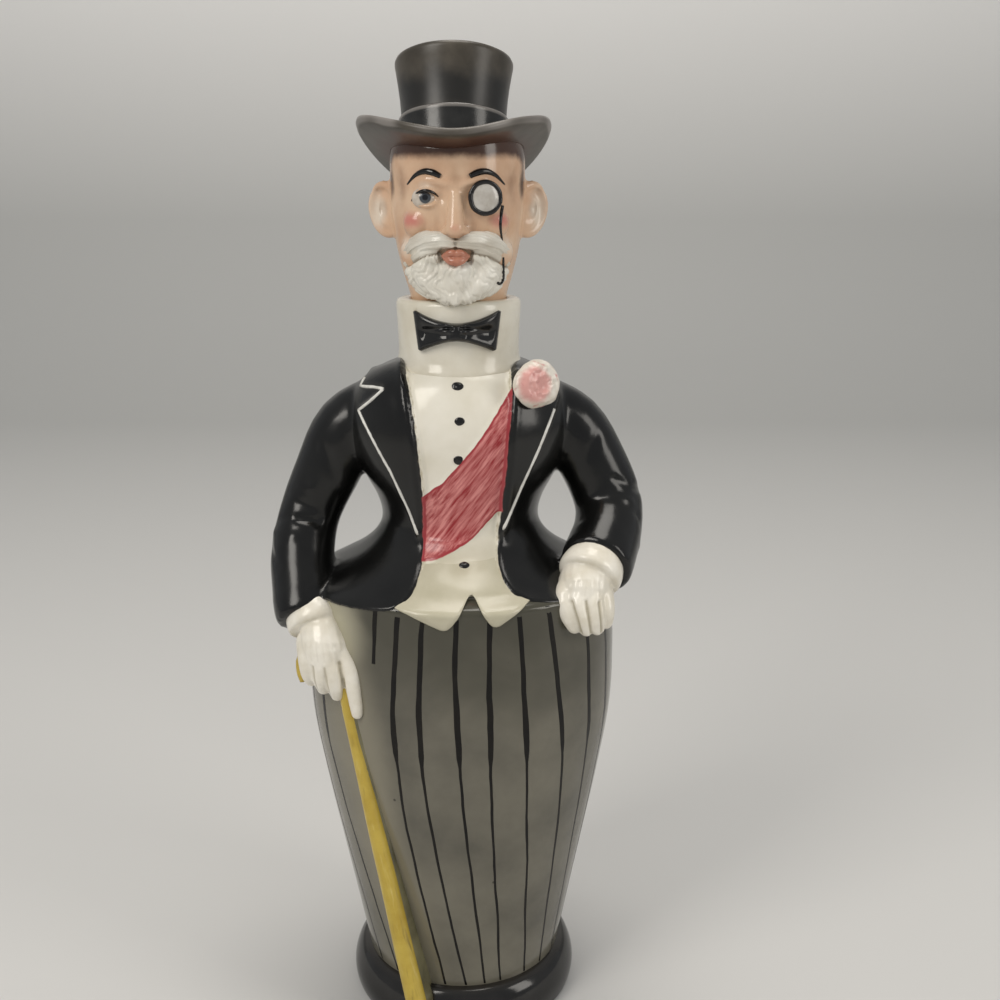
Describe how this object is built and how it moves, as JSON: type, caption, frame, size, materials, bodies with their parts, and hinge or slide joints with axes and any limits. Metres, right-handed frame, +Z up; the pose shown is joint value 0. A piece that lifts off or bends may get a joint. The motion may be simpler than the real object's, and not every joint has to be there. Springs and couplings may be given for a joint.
{
  "type": "figural decanter",
  "caption": "Tall bottle-shaped figure of a bearded gentleman in evening dress and top hat; the head lifts off as a corked stopper and the body holds the drink.",
  "frame": {"origin": "centre of the flat underside of the foot", "axes": "+Z up through the neck, -Y the way the figure faces, +X towards the figure's left hand"},
  "size_m": [0.1122, 0.0834, 0.2943],
  "materials": {
    "body_glaze": "glossy",
    "coat_glaze": "glossy",
    "ivory_glaze": "glossy",
    "cane_glaze": "glossy",
    "flower_glaze": "glossy",
    "face_glaze": "glossy",
    "hat_glaze": "glossy",
    "cork": "matte"
  },
  "bodies": {
    "vessel": {"vessel": "body_glaze", "right_sleeve": "coat_glaze", "left_sleeve": "coat_glaze", "right_glove": "ivory_glaze", "left_glove": "ivory_glaze", "cane": "cane_glaze", "bow_tie": "coat_glaze", "boutonniere": "flower_glaze"},
    "cork": {"cork_sleeve": "cork"},
    "head": {"head": "face_glaze", "top_hat": "hat_glaze", "monocle": "coat_glaze"}
  },
  "joints": [
    {"name": "stopper_lift", "type": "slide", "parent": "vessel", "child": "cork", "axis": [0, 0, 1], "range_m": [0, 0.06]},
    {"name": "head_turn", "type": "hinge", "parent": "cork", "child": "head", "pos_m": [0, 0, 0.22], "axis": [0, 0, 1], "continuous": true}
  ]
}
